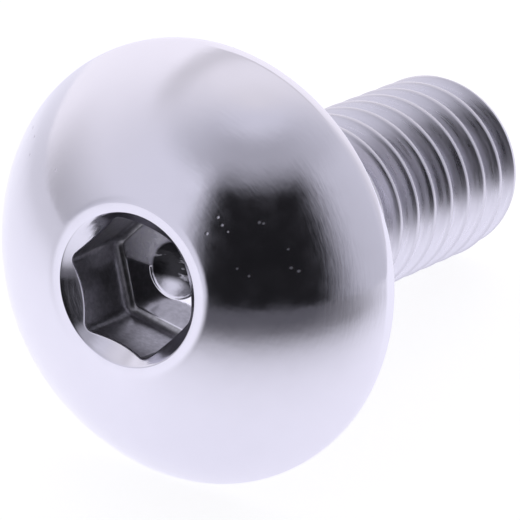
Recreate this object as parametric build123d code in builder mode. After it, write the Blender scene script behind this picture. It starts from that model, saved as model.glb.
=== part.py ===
from build123d import *
from math import atan2, cos, hypot, radians, sin, sqrt, tan
import os

# Button head screw, M4 x 0.7 x 10 with a 2.5 mm hexagon socket, headed and rolled in one piece.
# It lies on its side, as a loose screw comes to rest: on the rim of its head and on the last
# full turn of its thread. The origin is the centre of the bearing face under the head.

# ---- driving dimensions, in millimetres and degrees ----
# Head
head_diameter = 9.0
head_height = 2.63
rim_height = 0.28  # upright edge round the foot of the dome
rim_foot_chamfer = 0.09
rim_top_round = 0.3
# Lip: the flat ring round the socket's mouth, with a bore that narrows from it to a ledge
lip_diameter = 3.56
lip_round = 0.5
bore_mouth_diameter = 3.08
bore_diameter = 2.9  # at the ledge
bore_depth = 0.35
# Hexagon socket
hexagon_across_flats = 2.5
hexagon_corner_round = 0.15
hexagon_clocking = 22.1  # turn of one corner about the screw's axis, from straight up
hexagon_depth = 1.76  # from the top of the head
hexagon_floor_round = 0.08
pilot_diameter = 1.16
pilot_point_angle = 118.0
# Shank and thread
thread_diameter = 3.9  # M4, made to class 6g
thread_pitch = 0.7
thread_clocking = -124.0  # turn of the groove about the screw's axis
shank_length = 10.0  # from under the head to the end
neck_length = 1.0  # plain neck between head and thread
neck_flare = 0.26  # cone from the neck into the bearing face, to just outside the thread
run_out_slope = 30.0  # of the first, incomplete turn
core_clear = 0.1  # how far the neck's cone runs on below the thread's root
end_taper_length = 0.61  # the last turn narrows towards the end
end_taper = 0.19
end_chamfer = 0.15

# ---- worked out from them ----
head_radius = head_diameter / 2
lip_radius = lip_diameter / 2
bore_mouth_radius = bore_mouth_diameter / 2
bore_radius = bore_diameter / 2
pilot_radius = pilot_diameter / 2
pilot_point_depth = pilot_radius / tan(radians(pilot_point_angle / 2))
crest_radius = thread_diameter / 2
thread_height = thread_pitch * sqrt(3) / 2  # of the sharp 60 degree triangle
thread_depth = thread_height * 17 / 24
crest_flat = thread_pitch / 8
root_flat = thread_pitch - crest_flat - 2 * thread_depth * tan(radians(30))
root_radius = crest_radius - thread_depth
neck_radius = crest_radius - thread_height * 3 / 8  # the blank's, at the pitch diameter
run_out_length = 1 / tan(radians(run_out_slope))  # along the axis, for each mm of radius
core_radius = root_radius - core_clear
neck_end = neck_length + (neck_radius - core_radius) * run_out_length
taper_start = shank_length - end_taper_length
end_radius = crest_radius - end_taper
end_slope = end_taper / end_taper_length

# The dome is an arc centred on the axis, from the top of the rim to the edge of the lip.
dome_centre = (head_radius**2 + rim_height**2 - lip_radius**2 - head_height**2) / (
    2 * (rim_height - head_height)
)
dome_radius = hypot(head_radius, rim_height - dome_centre)

# At rest a straight line touches the rim above its chamfered foot and the crest where the
# end taper starts. Its angle to the axis is the tilt of the axis to the ground.
rest_tilt = atan2(head_radius - crest_radius, taper_start + rim_foot_chamfer)

# ---- planes: z points out of the head along the axis, and x is the side that faces up ----
out_of_head = Vector(-cos(rest_tilt), 0, sin(rest_tilt))
upper_side = Vector(sin(rest_tilt), 0, cos(rest_tilt))
seat = Plane(origin=(0, 0, 0), x_dir=upper_side, z_dir=out_of_head)
half_section = Plane(origin=(0, 0, 0), x_dir=upper_side, z_dir=(0, -1, 0))
screw_axis = Axis((0, 0, 0), out_of_head)

# ---- the rod that the thread is cut on and the cutter both run past the ends of the thread ----
run_past = 2 * thread_pitch
rod_start = run_past
rod_end = shank_length + 2 * run_past
trim_radius = 1.1 * crest_radius
cutter_clear = 0.05  # how far it stands out of the blank
cutter_mouth = root_flat + 2 * (thread_depth + cutter_clear) * tan(radians(30))
cutter_start = Plane(
    seat.location * Location((0, 0, -shank_length - run_past), (0, 0, thread_clocking))
)
cutter_travel = shank_length + run_past + thread_pitch / 2
cutter_path = cutter_start.location * Helix(thread_pitch, cutter_travel, crest_radius)
cutter_section = Plane(
    origin=cutter_path @ 0, x_dir=cutter_start.x_dir, z_dir=-cutter_start.y_dir
)

with BuildPart() as socket_punch:
    # The hexagon with its rounded foot, and the pilot's point below it
    with BuildSketch(seat.offset(head_height - hexagon_depth)) as hexagon:
        RegularPolygon(
            hexagon_across_flats / 2, 6, major_radius=False, rotation=hexagon_clocking
        )
        fillet(hexagon.vertices(), hexagon_corner_round)
    extrude(amount=hexagon_depth)
    fillet(socket_punch.faces().sort_by(screw_axis)[0].edges(), hexagon_floor_round)
    with BuildSketch(half_section):
        with BuildLine():
            Polyline(
                (0, head_height - hexagon_depth - pilot_point_depth),
                (pilot_radius, head_height - hexagon_depth),
                (pilot_radius, head_height - hexagon_depth + hexagon_floor_round),
                (0, head_height - hexagon_depth + hexagon_floor_round),
                close=True,
            )
        make_face()
    revolve(axis=screw_axis)

with BuildPart() as button_head_screw:
    # Thread: a right-hand groove cut round a blank of the crest diameter
    with BuildSketch(seat.offset(-rod_end)):
        Circle(crest_radius)
    extrude(amount=rod_end + rod_start)
    with BuildSketch(cutter_section) as cutter:
        with BuildLine():
            Polyline(
                (-thread_depth, -root_flat / 2),
                (cutter_clear, -cutter_mouth / 2),
                (cutter_clear, cutter_mouth / 2),
                (-thread_depth, root_flat / 2),
                close=True,
            )
        make_face()
    sweep(sections=cutter.sketch, path=cutter_path, is_frenet=True, mode=Mode.SUBTRACT)

    # The rod is cut to length with a narrowed end, and turned down where the thread runs out
    with BuildSketch(half_section):
        with BuildLine():
            Polyline(
                (0, -shank_length),
                (end_radius - end_chamfer, -shank_length),
                (end_radius + end_chamfer * end_slope, -shank_length + end_chamfer),
                (trim_radius, -taper_start + (trim_radius - crest_radius) / end_slope),
                (trim_radius, -rod_end),
                (0, -rod_end),
                close=True,
            )
        make_face()
        with BuildLine():
            Polyline(
                (0, -neck_length),
                (neck_radius, -neck_length),
                (trim_radius, -neck_length - (trim_radius - neck_radius) * run_out_length),
                (trim_radius, rod_start),
                (0, rod_start),
                close=True,
            )
        make_face()
    revolve(axis=screw_axis, mode=Mode.SUBTRACT)

    # Head and neck, turned in one; the neck's cone closes the groove where it runs out
    with BuildSketch(half_section) as head_and_neck:
        with BuildLine():
            Polyline(
                (0, -neck_end),
                (0, head_height - bore_depth),
                (bore_radius, head_height - bore_depth),
                (bore_mouth_radius, head_height),
                (lip_radius, head_height),
            )
            RadiusArc((lip_radius, head_height), (head_radius, rim_height), dome_radius)
            Polyline(
                (head_radius, rim_height),
                (head_radius, rim_foot_chamfer),
                (head_radius - rim_foot_chamfer, 0),
                (neck_radius + neck_flare, 0),
                (neck_radius, -neck_flare),
                (neck_radius, -neck_length),
                (core_radius, -neck_end),
                (0, -neck_end),
            )
        make_face()
        for corner, size in (
            ((lip_radius, head_height), lip_round),
            ((head_radius, rim_height), rim_top_round),
        ):
            fillet(head_and_neck.vertices().sort_by_distance(corner)[0], size)
    revolve(axis=screw_axis)
    add(socket_punch.part, mode=Mode.SUBTRACT)

os.makedirs("parts", exist_ok=True)
button_head_screw.part.label = "button_head_screw"
export_step(button_head_screw.part, "parts/button_head_screw.step")
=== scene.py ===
from math import acos, atan2, cos, hypot, pi, radians, sin, sqrt, tan
from random import Random
from types import SimpleNamespace

import bmesh
import bpy
from mathutils import Matrix, Vector


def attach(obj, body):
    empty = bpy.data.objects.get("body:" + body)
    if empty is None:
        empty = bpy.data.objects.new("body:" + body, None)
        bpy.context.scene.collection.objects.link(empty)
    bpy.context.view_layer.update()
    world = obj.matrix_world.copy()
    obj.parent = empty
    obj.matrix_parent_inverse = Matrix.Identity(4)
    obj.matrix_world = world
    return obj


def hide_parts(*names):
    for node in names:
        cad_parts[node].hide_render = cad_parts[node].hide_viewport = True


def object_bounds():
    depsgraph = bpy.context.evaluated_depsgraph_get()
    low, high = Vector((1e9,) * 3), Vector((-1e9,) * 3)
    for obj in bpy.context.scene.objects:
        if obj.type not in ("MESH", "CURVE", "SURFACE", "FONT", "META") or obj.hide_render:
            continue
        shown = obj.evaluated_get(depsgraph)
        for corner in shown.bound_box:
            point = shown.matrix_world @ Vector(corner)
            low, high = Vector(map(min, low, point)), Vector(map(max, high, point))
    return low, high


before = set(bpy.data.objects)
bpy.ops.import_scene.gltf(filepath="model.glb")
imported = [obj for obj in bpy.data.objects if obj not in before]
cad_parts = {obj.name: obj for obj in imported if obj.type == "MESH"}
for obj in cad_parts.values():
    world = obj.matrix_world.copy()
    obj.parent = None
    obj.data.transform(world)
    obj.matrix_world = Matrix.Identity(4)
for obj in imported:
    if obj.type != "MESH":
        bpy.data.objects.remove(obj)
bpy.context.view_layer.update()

# A button head screw, M4 x 0.7 x 10, headed and rolled in one piece, lying on its side.
# Its sizes are in millimetres until the finished mesh is scaled to metres. Along the screw's
# own axis, z is 0 at the bearing face under the head and grows out through the top of the head.
MM = 0.001

# ---- head ----
HEAD_RADIUS = 4.4985  # a hair under 4.5, to stay inside the CAD part's facets
HEAD_HEIGHT = 2.63
RIM_HEIGHT = 0.28
RIM_FOOT_ROUND = 0.13
RIM_TOP_ROUND = 0.3
LIP_RADIUS = 1.78
LIP_ROUND = 0.5
NEAR_RIM = 4.4  # radii at which the dome's direction is read for its two rounds
NEAR_LIP = 1.9

# ---- hexagon socket, with a countersink above it ----
COUNTERSINK_RADIUS = 1.54
COUNTERSINK_SLOPE = tan(radians(48.0))
COUNTERSINK_EDGE_ROUND = 0.04
HEXAGON_APOTHEM = 1.25
HEXAGON_CORNER_ROUND = 0.28
SMALLEST_CORNER_ROUND = 0.01  # where the floor's round narrows the hexagon
HEXAGON_CLOCKING = 22.1  # turn of one corner about the screw's axis, in degrees
HEXAGON_MOUTH_ROUND = 0.03
HEXAGON_DEPTH = 1.76
SOCKET_FLOOR_Z = HEAD_HEIGHT - HEXAGON_DEPTH
SOCKET_FLOOR_ROUND = 0.2
PILOT_RADIUS = 0.60
PILOT_EDGE_ROUND = 0.04
PILOT_POINT_ANGLE = 118.0

# ---- shank and thread ----
CREST_RADIUS = 1.95
PITCH = 0.7
THREAD_CLOCKING = -124.0  # turn of the groove about the screw's axis, in degrees
SHANK_LENGTH = 10.0
NECK_LENGTH = 1.0
NECK_FLARE = 0.26
NECK_CUT = 0.45  # from the bearing face down to where head and shank are joined
RUN_OUT_SLOPE = tan(radians(30.0))
END_TAPER_LENGTH = 0.61
END_TAPER = 0.19
END_TAPER_SLOPE = END_TAPER / END_TAPER_LENGTH
END_RADIUS = CREST_RADIUS - END_TAPER
END_CHAMFER = 0.19
CREST_ROUND = 0.042
ROOT_ROUND = 0.05

SHARP_THREAD_HEIGHT = PITCH * sqrt(3) / 2  # of a 60 degree thread with no flats
THREAD_DEPTH = SHARP_THREAD_HEIGHT * 17 / 24
CREST_HALF = PITCH / 16  # half the width of the crest's flat
ROOT_RADIUS = CREST_RADIUS - THREAD_DEPTH
SMALLEST_CREST_RADIUS = ROOT_RADIUS + 0.02
NECK_RADIUS = CREST_RADIUS - SHARP_THREAD_HEIGHT * 3 / 8
FLANK_SLOPE = tan(radians(30.0))
TAPER_START = SHANK_LENGTH - END_TAPER_LENGTH

# ---- how finely the mesh is turned ----
HEAD_STEPS = 384
CORNER_STEPS = 8  # on each side of a hexagon's corner
DOME_STEPS = 28
WIDE_ROUND_STEPS = 8  # the neck, the lip and the hexagon's mouth
ROUND_STEPS = 6  # the rim and the socket's floor
COUNTERSINK_EDGE_STEPS = 5
PILOT_EDGE_STEPS = 4
COUNTERSINK_ROWS = (0.75, 0.5, 0.25)  # shares of the way out from the hexagon
SOCKET_WALL_ROWS = (2.0, 1.7, 1.4)  # heights
SOCKET_FLOOR_ROWS = (0.3, 0.6, 0.9)  # shares of the way in to the pilot
THREAD_STEPS = 144  # in each turn
THREAD_ROWS = 22  # along each pitch
THREAD_TURNS = 16  # enough to run past both ends of the shank
FLANK_FOOT_ROW = 3  # rows are counted from the root
FLANK_TOP_ROW = 8
CREST_ROW = THREAD_ROWS // 2
FLANK_TRIES = 8  # by which the place where a flank meets the crest or root has settled
SHARP_ANGLE = radians(33)
TOUCHING = 1e-5  # points this close are one
THREAD_TOUCHING = PITCH / THREAD_ROWS / 50
SAME_HEIGHT = 1e-3

# The screw lies on its rim and on the last full turn of its thread, so its head faces up by
# this much.
REST_TILT = radians(15.05548)


# ---- head and socket ----
def rounded(before, corner, after, radius, pieces):
    """Points along the arc that rounds a profile's corner."""
    corner = Vector(corner)
    to_before = (Vector(before) - corner).normalized()
    to_after = (Vector(after) - corner).normalized()
    half = acos(to_before.dot(to_after)) / 2
    reach = radius / tan(half)
    centre = corner + (to_before + to_after).normalized() * (radius / sin(half))
    start = corner + to_before * reach - centre
    end = corner + to_after * reach - centre
    turn = atan2(start.cross(end), start.dot(end))
    return [
        centre + Matrix.Rotation(turn * i / pieces, 2) @ start for i in range(pieces + 1)
    ]


def bent(start, corner, end, share):
    """A point along the smooth bend between two points that a corner lies outside."""
    return start.lerp(corner, share).lerp(corner.lerp(end, share), share)


def head_profile():
    """Radius and height along the turned half-section: neck, rim, dome and lip."""
    dome_centre = (HEAD_RADIUS**2 + RIM_HEIGHT**2 - LIP_RADIUS**2 - HEAD_HEIGHT**2) / (
        2 * (RIM_HEIGHT - HEAD_HEIGHT)
    )
    dome_radius = hypot(HEAD_RADIUS, RIM_HEIGHT - dome_centre)

    def on_dome(radius):
        return (radius, dome_centre + sqrt(dome_radius**2 - radius**2))

    under_head = (NECK_RADIUS, 0)
    rim_foot = (HEAD_RADIUS, 0)
    rim_top = (HEAD_RADIUS, RIM_HEIGHT)
    lip = (LIP_RADIUS, HEAD_HEIGHT)
    countersink = (COUNTERSINK_RADIUS, HEAD_HEIGHT)
    rim_round = rounded(rim_foot, rim_top, on_dome(NEAR_RIM), RIM_TOP_ROUND, ROUND_STEPS)
    lip_round = rounded(on_dome(NEAR_LIP), lip, countersink, LIP_ROUND, WIDE_ROUND_STEPS)
    outer = rim_round[-1].x
    inner = lip_round[0].x

    profile = [(NECK_RADIUS, -NECK_CUT)]
    profile += rounded(profile[0], under_head, rim_foot, NECK_FLARE, WIDE_ROUND_STEPS)
    profile += rounded(under_head, rim_foot, rim_top, RIM_FOOT_ROUND, ROUND_STEPS)
    profile += rim_round
    profile += [
        on_dome(outer + (inner - outer) * i / DOME_STEPS) for i in range(1, DOME_STEPS)
    ]
    profile += lip_round
    down_slope = (COUNTERSINK_RADIUS - 1, HEAD_HEIGHT - COUNTERSINK_SLOPE)
    profile += rounded(
        lip, countersink, down_slope, COUNTERSINK_EDGE_ROUND, COUNTERSINK_EDGE_STEPS
    )
    return [Vector(point) for point in profile]


def on_hexagon(angle, inset):
    """A point on the rounded hexagon, reached at this turn from one of its corners."""
    corner = round(angle / (pi / 3)) * (pi / 3)
    off_corner = angle - corner
    corner_turn = 2 * pi * CORNER_STEPS / HEAD_STEPS
    corner_round = max(HEXAGON_CORNER_ROUND - inset, SMALLEST_CORNER_ROUND)
    pivot = HEXAGON_APOTHEM - inset - corner_round
    if abs(off_corner) <= corner_turn:
        heading = corner + off_corner / corner_turn * pi / 6
        reach = pivot / cos(pi / 6)
        return Vector(
            (
                reach * cos(corner) + corner_round * cos(heading),
                reach * sin(corner) + corner_round * sin(heading),
            )
        )
    side = 1 if off_corner >= 0 else -1
    heading = corner + side * pi / 6
    along = pivot * tan(pi / 6) * (pi / 6 - abs(off_corner)) / (pi / 6 - corner_turn)
    apothem = HEXAGON_APOTHEM - inset
    return Vector(
        (
            apothem * cos(heading) + side * along * sin(heading),
            apothem * sin(heading) - side * along * cos(heading),
        )
    )


def on_countersink(angle, rim, share):
    """A point on the countersink, from its rim at share 1 to the soft edge of the hexagon at 0."""
    edge = on_hexagon(angle, 0)
    share += (1 - share) * HEXAGON_MOUTH_ROUND / (rim.x - edge.length)
    spot = edge.lerp(Vector((cos(angle), sin(angle))) * rim.x, share)
    return Vector((spot.x, spot.y, rim.y - (rim.x - spot.length) * COUNTERSINK_SLOPE))


def into_hexagon(angle, rim, share):
    """A point on the soft edge that leads from the countersink down the hexagon's walls."""
    edge = on_hexagon(angle, 0)
    height = rim.y - (rim.x - edge.length) * COUNTERSINK_SLOPE
    start = on_countersink(angle, rim, 0)
    corner = Vector((edge.x, edge.y, height))
    end = Vector((edge.x, edge.y, height - HEXAGON_MOUTH_ROUND))
    return bent(start, corner, end, share)


def in_hexagon(angle, inset, height):
    """A point on the hexagon's wall, or on the round at its foot."""
    spot = on_hexagon(angle, inset)
    return Vector((spot.x, spot.y, height))


def on_socket_floor(angle, share):
    """A point on the socket's flat floor, from the foot of the walls to the pilot's edge."""
    foot = on_hexagon(angle, SOCKET_FLOOR_ROUND)
    pilot = Vector((cos(angle), sin(angle))) * (PILOT_RADIUS + PILOT_EDGE_ROUND)
    spot = foot.lerp(pilot, share)
    return Vector((spot.x, spot.y, SOCKET_FLOOR_Z))


def in_pilot(angle, radius, height):
    """A point on the pilot's edge or cone."""
    return Vector((radius * cos(angle), radius * sin(angle), height))


def socket_rows(rim):
    """What each row of the socket's mesh follows, from the countersink's rim to the pilot."""
    pilot_tip = SOCKET_FLOOR_Z - PILOT_RADIUS / tan(radians(PILOT_POINT_ANGLE / 2))
    rows = [(on_countersink, rim, share) for share in COUNTERSINK_ROWS]
    rows += [
        (into_hexagon, rim, step / WIDE_ROUND_STEPS) for step in range(WIDE_ROUND_STEPS + 1)
    ]
    rows += [(in_hexagon, 0, height) for height in SOCKET_WALL_ROWS]
    foot_round = rounded(
        (0, HEAD_HEIGHT),
        (0, SOCKET_FLOOR_Z),
        (HEAD_RADIUS, SOCKET_FLOOR_Z),
        SOCKET_FLOOR_ROUND,
        ROUND_STEPS,
    )
    rows += [(in_hexagon, point.x, point.y) for point in foot_round]
    rows += [(on_socket_floor, share) for share in SOCKET_FLOOR_ROWS]
    pilot_edge = rounded(
        (HEAD_RADIUS, SOCKET_FLOOR_Z),
        (PILOT_RADIUS, SOCKET_FLOOR_Z),
        (0, pilot_tip),
        PILOT_EDGE_ROUND,
        PILOT_EDGE_STEPS,
    )
    rows += [(in_pilot, point.x, point.y) for point in pilot_edge]
    rows += [(in_pilot, 0, pilot_tip)]
    return rows


def turn_head():
    """The head, turned from its half-section. The rows inside the lip are then pressed to the
    countersink, the hexagon and the pilot."""
    head = bmesh.new()
    row_of = head.verts.layers.int.new("row")
    profile = head_profile()
    socket_rim = profile[-1]
    socket = socket_rows(socket_rim)
    profile += [socket_rim * (1 - (i + 1) / len(socket)) for i in range(len(socket))]
    points = [head.verts.new((point.x, 0, point.y)) for point in profile]
    # The socket's rows count up from 0, and those outside it are below 0.
    for row, point in enumerate(points, len(socket) - len(points)):
        point[row_of] = row
    edges = [head.edges.new(pair) for pair in zip(points, points[1:])]
    bmesh.ops.spin(
        head,
        geom=points + edges,
        cent=(0, 0, 0),
        axis=(0, 0, 1),
        angle=2 * pi,
        steps=HEAD_STEPS,
        use_merge=True,
    )
    for vert in head.verts:
        row = vert[row_of]
        if row >= 0:
            follow, *values = socket[row]
            vert.co = follow(atan2(vert.co.y, vert.co.x), *values)
    bmesh.ops.remove_doubles(head, verts=head.verts, dist=TOUCHING)
    bmesh.ops.rotate(
        head,
        verts=head.verts,
        cent=(0, 0, 0),
        matrix=Matrix.Rotation(radians(HEXAGON_CLOCKING), 3, "Z"),
    )
    return head


# ---- shank and thread ----
def crest_limit(z):
    """How far out the thread's crest may reach at this height."""
    depth = -z
    if depth < NECK_LENGTH:
        return NECK_RADIUS
    limit = min(CREST_RADIUS, NECK_RADIUS + (depth - NECK_LENGTH) * RUN_OUT_SLOPE)
    limit = min(limit, CREST_RADIUS - (depth - TAPER_START) * END_TAPER_SLOPE)
    limit = min(limit, END_RADIUS - END_CHAMFER + SHANK_LENGTH - depth)
    return max(limit, SMALLEST_CREST_RADIUS)


def root_limit(z):
    """How far in the thread's root reaches at this height."""
    return min(NECK_RADIUS, max(ROOT_RADIUS, NECK_RADIUS + (z + NECK_LENGTH) * RUN_OUT_SLOPE))


def flank_meets(limit, crest_z, side):
    """Distance from the crest's middle and radius at which a flank meets a limit."""
    off = CREST_HALF
    for _ in range(FLANK_TRIES):
        radius = limit(crest_z + side * off)
        off = CREST_HALF + (CREST_RADIUS - radius) * FLANK_SLOPE
    return Vector((off, radius))


def thread_row(crest_z, side, row):
    """Distance from the crest's middle and radius of one row, from root to crest."""
    root = Vector((PITCH / 2, root_limit(crest_z + side * PITCH / 2)))
    root_corner = flank_meets(root_limit, crest_z, side)
    crest_corner = flank_meets(crest_limit, crest_z, side)
    crest = Vector((0, crest_limit(crest_z)))
    if row == 0:
        return root
    if row == CREST_ROW:
        return crest
    flank = crest_corner - root_corner
    root_reach = min(ROOT_ROUND, flank.length / 2)
    crest_reach = min(CREST_ROUND, flank.length / 2)
    flank_foot = root_corner + flank.normalized() * root_reach
    flank_top = crest_corner - flank.normalized() * crest_reach
    if row <= FLANK_FOOT_ROW:
        start = root_corner + (root - root_corner).normalized() * root_reach
        return bent(start, root_corner, flank_foot, (row - 1) / (FLANK_FOOT_ROW - 1))
    if row >= FLANK_TOP_ROW:
        end = crest_corner + (crest - crest_corner).normalized() * crest_reach
        share = (row - FLANK_TOP_ROW) / (CREST_ROW - 1 - FLANK_TOP_ROW)
        return bent(flank_top, crest_corner, end, share)
    share = (row - FLANK_FOOT_ROW) / (FLANK_TOP_ROW - FLANK_FOOT_ROW)
    return flank_foot.lerp(flank_top, share)


def roll_thread():
    """The shank: a strip one pitch high is wound once round, set end to end with its copies, and
    its rows are rolled to depth."""
    shank = bmesh.new()
    foot = -SHANK_LENGTH - 2 * PITCH - PITCH * THREAD_CLOCKING / 360
    points = [
        shank.verts.new((CREST_RADIUS, 0, foot + PITCH * row / THREAD_ROWS))
        for row in range(THREAD_ROWS + 1)
    ]
    edges = [shank.edges.new(pair) for pair in zip(points, points[1:])]
    bmesh.ops.spin(
        shank,
        geom=points + edges,
        cent=(0, 0, 0),
        axis=(0, 0, 1),
        dvec=(0, 0, PITCH / THREAD_STEPS),
        angle=2 * pi,
        steps=THREAD_STEPS,
    )
    one_turn = shank.verts[:] + shank.edges[:] + shank.faces[:]
    for turn in range(1, THREAD_TURNS):
        copy = bmesh.ops.duplicate(shank, geom=one_turn)["geom"]
        verts = [item for item in copy if isinstance(item, bmesh.types.BMVert)]
        bmesh.ops.translate(shank, verts=verts, vec=(0, 0, PITCH * turn))
    bmesh.ops.remove_doubles(shank, verts=shank.verts, dist=THREAD_TOUCHING)
    for vert in shank.verts:
        turn = atan2(vert.co.y, vert.co.x) / (2 * pi)
        row = round(((vert.co.z - foot) / PITCH - turn) * THREAD_ROWS) % THREAD_ROWS
        side = 1 if row > CREST_ROW else -1
        crest_z = vert.co.z + (CREST_ROW - row) * PITCH / THREAD_ROWS
        off, radius = thread_row(crest_z, side, min(row, THREAD_ROWS - row))
        vert.co.xy = vert.co.xy.normalized() * radius
        vert.co.z = crest_z + side * off
    for height, outward in ((-SHANK_LENGTH, -1), (-NECK_CUT, 1)):
        bmesh.ops.bisect_plane(
            shank,
            geom=shank.verts[:] + shank.edges[:] + shank.faces[:],
            dist=TOUCHING,
            plane_co=(0, 0, height),
            plane_no=(0, 0, outward),
            clear_outer=True,
        )
    return shank


def open_edges(shape, height):
    """The edges round the hole that a shape has at this height."""
    return [
        edge
        for edge in shape.edges
        if edge.is_boundary and abs(edge.verts[0].co.z - height) < SAME_HEIGHT
    ]


def add_piece(name, shape):
    """Puts a finished shape into the scene."""
    mesh = bpy.data.meshes.new(name)
    shape.to_mesh(mesh)
    shape.free()
    piece = bpy.data.objects.new(name, mesh)
    bpy.context.scene.collection.objects.link(piece)
    return piece


def make_screw(name):
    """Head and shank in one closed mesh, laid down where the CAD part lies."""
    screw = turn_head()
    shank = roll_thread()
    shank_mesh = bpy.data.meshes.new("shank")
    shank.to_mesh(shank_mesh)
    shank.free()
    screw.from_mesh(shank_mesh)
    bpy.data.meshes.remove(shank_mesh)
    bmesh.ops.bridge_loops(screw, edges=open_edges(screw, -NECK_CUT))
    bmesh.ops.edgeloop_fill(screw, edges=open_edges(screw, -SHANK_LENGTH))
    bmesh.ops.recalc_face_normals(screw, faces=screw.faces)
    lie_down = Matrix.Rotation(REST_TILT - pi / 2, 4, "Y")
    bmesh.ops.transform(screw, matrix=lie_down @ Matrix.Scale(MM, 4), verts=screw.verts)
    for face in screw.faces:
        face.smooth = True
    piece = add_piece(name, screw)
    piece.data.set_sharp_from_angle(angle=SHARP_ANGLE)
    return piece


# ---- materials ----
MIX_NUMBERS = (0, 2, 3)  # a Mix node's sockets for its share, its first and its second value
MIX_COLOURS = (0, 6, 7)
WHITE = (1, 1, 1, 1)


class Nodes:
    """Short names for adding and joining the nodes of one material or of the world."""

    def __init__(self, tree):
        self.tree = tree
        tree.nodes.clear()

    def add(self, kind, **values):
        node = self.tree.nodes.new(kind)
        for name, value in values.items():
            setattr(node, name, value)
        return node

    def put(self, socket, value):
        if isinstance(value, bpy.types.NodeSocket):
            self.tree.links.new(value, socket)
        else:
            socket.default_value = value

    def fill(self, node, values):
        """Puts each value on the node's socket of that name."""
        for name, value in values.items():
            self.put(node.inputs[name], value)

    def math(self, operation, *values):
        node = self.add("ShaderNodeMath", operation=operation)
        for socket, value in zip(node.inputs, values):
            self.put(socket, value)
        return node.outputs[0]

    def product(self, first, *others):
        """Values multiplied together. Of shares, it is where they all hold."""
        for other in others:
            first = self.math("MULTIPLY", first, other)
        return first

    def ease(self, value, low, high, at_low=0.0, at_high=1.0):
        """A smooth step from one value to another between two readings."""
        node = self.add("ShaderNodeMapRange", interpolation_type="SMOOTHSTEP")
        self.fill(
            node,
            {
                "Value": value,
                "From Min": low,
                "From Max": high,
                "To Min": at_low,
                "To Max": at_high,
            },
        )
        return node.outputs[0]

    def fall(self, value, low, high):
        """A smooth step from 1 down to 0."""
        return self.ease(value, low, high, 1.0, 0.0)

    def band(self, value, low, low_end, high_end, high):
        """1 between the two middle readings, and 0 beyond the outer two."""
        return self.product(self.ease(value, low, low_end), self.fall(value, high_end, high))

    def mix(self, share, first, second):
        """A number part of the way between two others."""
        node = self.add("ShaderNodeMix", data_type="FLOAT")
        for index, value in zip(MIX_NUMBERS, (share, first, second)):
            self.put(node.inputs[index], value)
        return node.outputs[0]

    def blend(self, share, first, second):
        """A colour part of the way between two others."""
        node = self.add("ShaderNodeMix", data_type="RGBA")
        for index, value in zip(MIX_COLOURS, (share, first, second)):
            self.put(node.inputs[index], value)
        return node.outputs[2]

    def vector_math(self, operation, *values, result="Vector"):
        node = self.add("ShaderNodeVectorMath", operation=operation)
        for socket, value in zip(node.inputs, values):
            self.put(socket, value)
        return node.outputs[result]

    def shaded(self, colour, grey):
        """A colour made darker or brighter by a number."""
        node = self.add("ShaderNodeVectorMath", operation="SCALE")
        self.put(node.inputs[0], colour)
        self.put(node.inputs["Scale"], grey)
        return node.outputs[0]

    def turned(self, place, rotation, scale=1.0):
        """A place scaled and turned about the origin."""
        node = self.add("ShaderNodeMapping", vector_type="POINT")
        self.fill(
            node, {"Vector": place, "Rotation": rotation, "Scale": (scale, scale, scale)}
        )
        return node.outputs[0]

    def split(self, place):
        node = self.add("ShaderNodeSeparateXYZ")
        self.put(node.inputs[0], place)
        return node.outputs

    def join(self, *values):
        node = self.add("ShaderNodeCombineXYZ")
        for socket, value in zip(node.inputs, values):
            self.put(socket, value)
        return node.outputs[0]

    def noise(self, place, scale=1.0, detail=3.0, roughness=0.5):
        node = self.add("ShaderNodeTexNoise")
        self.fill(
            node,
            {"Vector": place, "Scale": scale, "Detail": detail, "Roughness": roughness},
        )
        return node.outputs[0]


class ScrewNodes(Nodes):
    """The same for the screw, with its own axes to place things by, in millimetres."""

    def __init__(self, tree):
        super().__init__(tree)
        place = self.add("ShaderNodeTexCoord").outputs["Object"]
        self.place = self.turned(place, (0, pi / 2 - REST_TILT, 0), 1 / MM)
        self.up, self.left, self.z = self.split(self.place)
        up_squared = self.product(self.up, self.up)
        left_squared = self.product(self.left, self.left)
        self.radius = self.math("SQRT", self.math("ADD", up_squared, left_squared))


# Shades of grey. A pair is for the two ends of a pattern.
STEEL_GREY = 0.80
CREST_GREY = 0.68
# The socket's walls are painted shade in the recess, varied by the scuff pattern
SOCKET_WALL_SHADE_GREYS = (0.40, 0.52)
# The socket's floor is painted lighter than the rest of the steel: painted light
SOCKET_FLOOR_LIT_GREY = 0.95
# The pilot: painted shade deep in the socket, broken by lighter scratch streaks, with painted
# light on its lower side
PILOT_SHADE_GREYS = (0.05, 0.7)
PILOT_LIT_FOOT_GREY = 0.9  # the lower side of the pilot
DENT_SHADE = 0.85  # of the steel round the dent
STEEL_TINT = (1.0, 0.9875, 1.075, 1)
SOCKET_WALL_TINT = (1, 0.99, 1.03, 1)

# Dullness, from a mirror at 0 to matt at 1
STEEL_DULL = (0.11, 0.17)
THREAD_DULL = (0.25, 0.36)
SOCKET_WALL_DULL = 0.32
SOCKET_FLOOR_DULL = 0.07
SCUFF_DULL = (0.45, 0.8)
PILOT_DULL = 0.3
DENT_DULL = 0.42

# Relief, in millimetres
WAVE_HEIGHT = 0.0022
BRUSH_HEIGHT = 0.0010
DENT_DEPTH = 0.003
ROLLED_HEIGHT = 0.001
SCUFF_HEIGHT = 0.035
SCRATCH_HEIGHT = 0.02

DENT_SEED = 18
DENT_RADII = (0.032, 0.055)
DENT_PATCHES = (  # middle across the axis, upwards and to the left, spread, and how many dents
    (1.6, -2.25, 0.5, 11),
    (1.3, 3.0, 0.6, 4),
)


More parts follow.
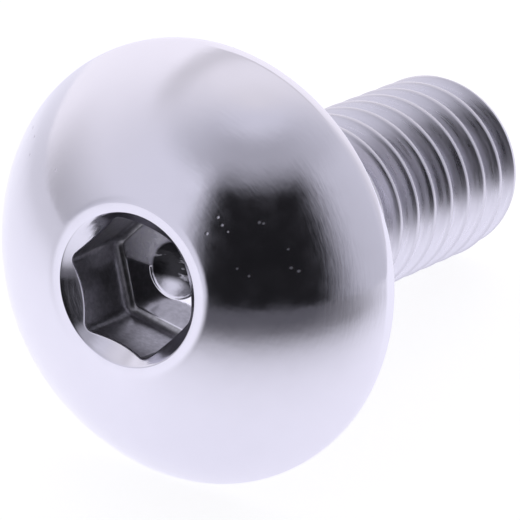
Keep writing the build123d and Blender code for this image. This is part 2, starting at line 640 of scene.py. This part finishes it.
def steel_zones(nodes):
    """Where the screw's finish changes, and where its painted shade and painted light lie, as
    shares from 0 to 1. Each changes softly between two readings in millimetres."""
    z = nodes.z
    radius = nodes.radius
    head = nodes.ease(z, 0.2, 0.3)
    in_lip = nodes.product(
        nodes.fall(radius, COUNTERSINK_RADIUS - 0.02, COUNTERSINK_RADIUS), head
    )
    drop = nodes.product(nodes.math("SUBTRACT", COUNTERSINK_RADIUS, radius), COUNTERSINK_SLOPE)
    below_countersink = nodes.math("SUBTRACT", nodes.math("SUBTRACT", HEAD_HEIGHT, drop), z)
    floor_soft_edge = (SOCKET_FLOOR_Z + 0.002, SOCKET_FLOOR_Z + 0.012)
    pilot_soft_edge = (SOCKET_FLOOR_Z - 0.04, SOCKET_FLOOR_Z - 0.01)
    socket_floor = nodes.product(in_lip, nodes.fall(z, *floor_soft_edge))

    thread = nodes.fall(z, -0.35, -0.25)
    tapered = nodes.math("MAXIMUM", nodes.math("SUBTRACT", -TAPER_START, z), 0.0)
    crest_here = nodes.math("ADD", radius, nodes.product(tapered, END_TAPER_SLOPE))
    below_crest = nodes.math("SUBTRACT", CREST_RADIUS, crest_here)
    return SimpleNamespace(
        head=head,
        socket_wall=nodes.product(
            in_lip, nodes.ease(z, *floor_soft_edge), nodes.ease(below_countersink, 0.0, 0.03)
        ),
        socket_floor=socket_floor,
        scuffed=nodes.product(socket_floor, nodes.ease(nodes.up, -0.12, -0.02)),
        pilot=nodes.product(in_lip, nodes.fall(z, *pilot_soft_edge)),
        thread=thread,
        crest=nodes.product(thread, nodes.fall(below_crest, 0.01, 0.06)),
    )


def handling_dents(nodes):
    """Small dents strewn over the head, with 1 in the middle of each."""
    across = nodes.join(nodes.up, nodes.left, 0.0)
    scatter = Random(DENT_SEED)
    dents = 0.0
    for patch_up, patch_left, spread, count in DENT_PATCHES:
        for _ in range(count):
            middle = (scatter.gauss(patch_up, spread), scatter.gauss(patch_left, spread), 0.0)
            away = nodes.vector_math("DISTANCE", across, middle, result="Value")
            size = scatter.uniform(*DENT_RADII)
            dents = nodes.math("MAXIMUM", dents, nodes.fall(away, 0, size))
    return dents


def steel_marks(nodes, zones):
    """What heading, rolling and handling left on the steel, as patterns from 0 to 1."""
    turn = nodes.math("ARCTAN2", nodes.left, nodes.up)
    rolled_place = nodes.join(
        nodes.product(nodes.radius, 14.0), nodes.product(turn, 1.6), nodes.product(nodes.z, 0.8)
    )
    brushed_place = nodes.vector_math("MULTIPLY", nodes.place, (3.0, 3.0, 22.0))
    scratched_place = nodes.vector_math("MULTIPLY", nodes.place, (5.0, 2.0, 2.0))
    return SimpleNamespace(
        waves=nodes.noise(nodes.place, 2.6, 2.0),
        clouds=nodes.noise(nodes.place, 2.5),
        brushed=nodes.noise(brushed_place),
        rolled=nodes.noise(rolled_place, roughness=0.55),
        scuffs=nodes.noise(nodes.place, 9.0, 4.0, 0.65),
        scratches=nodes.noise(scratched_place, 1.0, 4.0, 0.6),
        dents=nodes.product(handling_dents(nodes), zones.head),
    )


def steel_colour(nodes, zones, marks):
    """Bright, a little darker on the thread's crests, with painted shade on the socket's walls and
    pilot, and painted light on the pilot's lower side and on the socket's floor.
    """
    # Painted light on the pilot's lower side, and painted shade elsewhere on it with lighter
    # scratch streaks
    lit_pilot_foot = nodes.fall(nodes.up, -0.36, -0.2)
    pilot_shade_and_light = nodes.ease(marks.scratches, 0.52, 0.64, *PILOT_SHADE_GREYS)
    pilot_shade_and_light = nodes.mix(lit_pilot_foot, pilot_shade_and_light, PILOT_LIT_FOOT_GREY)
    # Painted shade on the socket's walls, lighter and darker with the scuffs
    wall_painted_shade = nodes.ease(marks.scuffs, 0.35, 0.65, *SOCKET_WALL_SHADE_GREYS)
    grey = nodes.mix(zones.crest, STEEL_GREY, CREST_GREY)
    # Painted light: the socket's floor brighter than the head's steel
    grey = nodes.mix(zones.socket_floor, grey, SOCKET_FLOOR_LIT_GREY)
    grey = nodes.mix(zones.pilot, grey, pilot_shade_and_light)
    grey = nodes.mix(zones.socket_wall, grey, wall_painted_shade)
    grey = nodes.product(grey, nodes.ease(marks.dents, 0.0, 1.0, 1.0, DENT_SHADE))
    tint = nodes.blend(zones.socket_wall, STEEL_TINT, SOCKET_WALL_TINT)
    return nodes.shaded(tint, grey)


def steel_dullness(nodes, zones, marks):
    """Polished on the head and on the socket's floor, and duller elsewhere."""
    dull = nodes.ease(marks.clouds, 0.3, 0.7, *STEEL_DULL)
    dull = nodes.mix(zones.thread, dull, nodes.ease(marks.rolled, 0.3, 0.7, *THREAD_DULL))
    dull = nodes.mix(zones.socket_wall, dull, SOCKET_WALL_DULL)
    dull = nodes.mix(zones.socket_floor, dull, SOCKET_FLOOR_DULL)
    dull = nodes.mix(zones.scuffed, dull, nodes.ease(marks.scuffs, 0.35, 0.65, *SCUFF_DULL))
    dull = nodes.mix(zones.pilot, dull, PILOT_DULL)
    return nodes.mix(marks.dents, dull, DENT_DULL)


def steel_relief(nodes, zones, marks):
    """Faint waves, brushing and dents, with scuffs and scratches in the socket."""
    waves = nodes.product(marks.waves, WAVE_HEIGHT)
    relief = nodes.math("ADD", waves, nodes.product(marks.brushed, BRUSH_HEIGHT))
    relief = nodes.math("SUBTRACT", relief, nodes.product(marks.dents, DENT_DEPTH))
    relief = nodes.mix(zones.thread, relief, nodes.product(marks.rolled, ROLLED_HEIGHT))
    relief = nodes.mix(zones.scuffed, relief, nodes.product(marks.scuffs, SCUFF_HEIGHT))
    return nodes.mix(zones.pilot, relief, nodes.product(marks.scratches, SCRATCH_HEIGHT))


def bright_steel():
    material = bpy.data.materials.new("bright_steel")
    material.use_nodes = True
    nodes = ScrewNodes(material.node_tree)
    zones = steel_zones(nodes)
    marks = steel_marks(nodes, zones)
    bump = nodes.add("ShaderNodeBump")
    bump.inputs["Distance"].default_value = MM
    bump.inputs["Strength"].default_value = 1.0
    nodes.put(bump.inputs["Height"], steel_relief(nodes, zones, marks))
    steel = nodes.add("ShaderNodeBsdfPrincipled")
    nodes.put(steel.inputs["Base Color"], steel_colour(nodes, zones, marks))
    steel.inputs["Metallic"].default_value = 1.0
    nodes.put(steel.inputs["Roughness"], steel_dullness(nodes, zones, marks))
    nodes.put(steel.inputs["Normal"], bump.outputs[0])
    out = nodes.add("ShaderNodeOutputMaterial")
    nodes.put(out.inputs["Surface"], steel.outputs[0])
    return material


# ---- studio ----
# The camera stands to the side of the head. The studio's front, behind the camera, is dark.
CAMERA_PLACE = Vector((-66.662, -44.174, 50.781)) * MM
CAMERA_AIM = Vector((2.423, 0.129, -1.331)) * MM
CAMERA_LENS = 332.44  # in millimetres, like the sensor's width
CAMERA_SENSOR = 36
FRONT_HEADING = radians(-147.34)

# How bright the studio is, where 1 is white. Of a pair, the second is further from the front.
WALLS = (0.80, 1.08)
RIGHT_WALL = (0.60, 0.72)
LEFT_CARD = 0.52
CEILING = (0.44, 0.92)
CEILING_SEAM = 0.72
OVERHEAD = (0.74, 0.82)
OPENING = 0.012
FRONT_TINT = (0.96, 0.95, 1.07, 1)
BACK_TINT = (1.0, 0.97, 1.03, 1)

# The table top: its glow where steel mirrors it, with painted shade to the front and the left, its
# glow where the camera sees it, and its paint
FLOOR_REACH = 0.6  # metres, from its middle to each side
TABLE_GLOW = 0.85
# painted shade on the mirrored glow, to the left
LEFT_SHADED_GLOW = 0.52
SEEN_GLOW = 0.82
TABLE_TINT = (0.96, 0.95, 1.05, 1)
TABLE_PAINT = (0.35, 0.35, 0.35, 1)
# painted shade in the paint, mirrored, in front of the opening
FAR_SHADE_PAINT = (0.17, 0.17, 0.18, 1)  # mirrored, in front of the opening


def make_camera():
    camera = bpy.data.objects.new("camera", bpy.data.cameras.new("camera"))
    bpy.context.scene.collection.objects.link(camera)
    camera.location = CAMERA_PLACE
    look = CAMERA_AIM - CAMERA_PLACE
    camera.rotation_mode = "QUATERNION"
    camera.rotation_quaternion = look.to_track_quat("-Z", "Y")
    camera.data.lens = CAMERA_LENS
    camera.data.sensor_width = CAMERA_SENSOR
    camera.data.clip_start = 0.005
    camera.data.clip_end = 10
    bpy.context.scene.camera = camera


def seen_from_front(nodes, place):
    """How far a place lies towards the studio's front, its azimuth from there to the right,
    in degrees, and its height."""
    turned = nodes.turned(place, (0, 0, -FRONT_HEADING))
    forward, right, height = nodes.split(turned)
    azimuth = nodes.product(nodes.math("ARCTAN2", right, forward), 180 / pi)
    return forward, azimuth, height


def studio_light(nodes, azimuth, elevation):
    """What the studio shows in one direction, by its azimuth and elevation in degrees."""
    sideways = nodes.math("ABSOLUTE", azimuth)
    light = nodes.ease(sideways, 90, 160, *WALLS)
    on_right = nodes.band(azimuth, 20, 40, 85, 140)
    light = nodes.mix(on_right, light, nodes.ease(azimuth, 38, 85, *RIGHT_WALL))
    left_card = nodes.product(
        nodes.band(azimuth, -140, -105, -80, -60), nodes.fall(elevation, 2, 30)
    )
    light = nodes.mix(left_card, light, LEFT_CARD)
    ceiling = nodes.ease(sideways, 15, 165, *CEILING)
    light = nodes.mix(nodes.ease(elevation, 48, 62), light, ceiling)
    seam = nodes.product(
        nodes.band(elevation, 45, 53, 56, 64), nodes.ease(sideways, 90, 125)
    )
    light = nodes.mix(seam, light, CEILING_SEAM)
    overhead = nodes.ease(sideways, 60, 170, *OVERHEAD)
    light = nodes.mix(nodes.ease(elevation, 70, 84), light, overhead)
    opening = nodes.product(
        nodes.band(azimuth, -43, -22, 28, 50), nodes.fall(elevation, 49, 65)
    )
    light = nodes.mix(opening, light, OPENING)
    tint = nodes.blend(nodes.ease(sideways, 60, 150), FRONT_TINT, BACK_TINT)
    return nodes.shaded(tint, light)


def make_studio():
    """Pale walls all round, darker towards the front, with one dark opening there. The camera
    itself sees plain white."""
    world = bpy.data.worlds.new("studio")
    bpy.context.scene.world = world
    world.use_nodes = True
    nodes = Nodes(world.node_tree)
    view = nodes.add("ShaderNodeTexCoord").outputs["Generated"]
    _, azimuth, height = seen_from_front(nodes, view)
    elevation = nodes.product(nodes.math("ARCSINE", height), 180 / pi)
    light = studio_light(nodes, azimuth, elevation)
    seen = nodes.add("ShaderNodeLightPath").outputs["Is Camera Ray"]
    background = nodes.add("ShaderNodeBackground")
    nodes.put(background.inputs["Color"], nodes.blend(seen, light, WHITE))
    out = nodes.add("ShaderNodeOutputWorld")
    nodes.put(out.inputs["Surface"], background.outputs[0])


def white_table():
    """White to the camera. What the steel mirrors of it glows, with painted shade to the front and
    the left.
    """
    material = bpy.data.materials.new("white_table")
    material.use_nodes = True
    nodes = Nodes(material.node_tree)
    place = nodes.add("ShaderNodeTexCoord").outputs["Object"]
    forward, azimuth, _ = seen_from_front(nodes, place)
    distance = nodes.vector_math("LENGTH", place, result="Value")
    path = nodes.add("ShaderNodeLightPath")
    seen = path.outputs["Is Camera Ray"]
    mirrored = path.outputs["Is Glossy Ray"]

    # Painted shade on the mirrored table, darker to the front and to the left
    front_painted_shade = nodes.product(
        nodes.band(azimuth, -55, -25, 35, 70), nodes.ease(forward, 1 * MM, 27 * MM)
    )
    left_painted_shade = nodes.product(
        nodes.band(azimuth, -170, -125, -80, -55), nodes.ease(distance, 2 * MM, 45 * MM)
    )
    glow = nodes.mix(front_painted_shade, nodes.mix(left_painted_shade, TABLE_GLOW, LEFT_SHADED_GLOW), 0.0)
    glow = nodes.mix(mirrored, 0.0, glow)
    lit = nodes.add("ShaderNodeEmission")
    nodes.put(lit.inputs["Color"], nodes.blend(seen, TABLE_TINT, WHITE))
    nodes.put(lit.inputs["Strength"], nodes.mix(seen, glow, SEEN_GLOW))

    # Painted shade in the table's paint, seen only in the steel's reflections
    far_shade = nodes.product(
        nodes.band(azimuth, -43, -22, 22, 45),
        nodes.ease(forward, 10 * MM, 45 * MM),
        mirrored,
    )
    paint = nodes.add("ShaderNodeBsdfDiffuse")
    nodes.put(paint.inputs["Color"], nodes.blend(far_shade, TABLE_PAINT, FAR_SHADE_PAINT))
    both = nodes.add("ShaderNodeAddShader")
    nodes.put(both.inputs[0], paint.outputs[0])
    nodes.put(both.inputs[1], lit.outputs[0])
    out = nodes.add("ShaderNodeOutputMaterial")
    nodes.put(out.inputs["Surface"], both.outputs[0])
    return material


def make_floor(lowest):
    """A table top under the lowest point of the screw."""
    top = bmesh.new()
    bmesh.ops.create_grid(top, x_segments=1, y_segments=1, size=FLOOR_REACH)
    bmesh.ops.translate(top, verts=top.verts, vec=(0, 0, lowest))
    floor = add_piece("floor", top)
    floor.data.materials.append(white_table())


screw = make_screw("button_head_screw_mesh")
screw.data.materials.append(bright_steel())
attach(screw, "root")
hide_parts("button_head_screw")

scene_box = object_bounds()
make_floor(scene_box[0].z)
make_studio()
make_camera()
bpy.context.scene.view_settings.view_transform = "Standard"
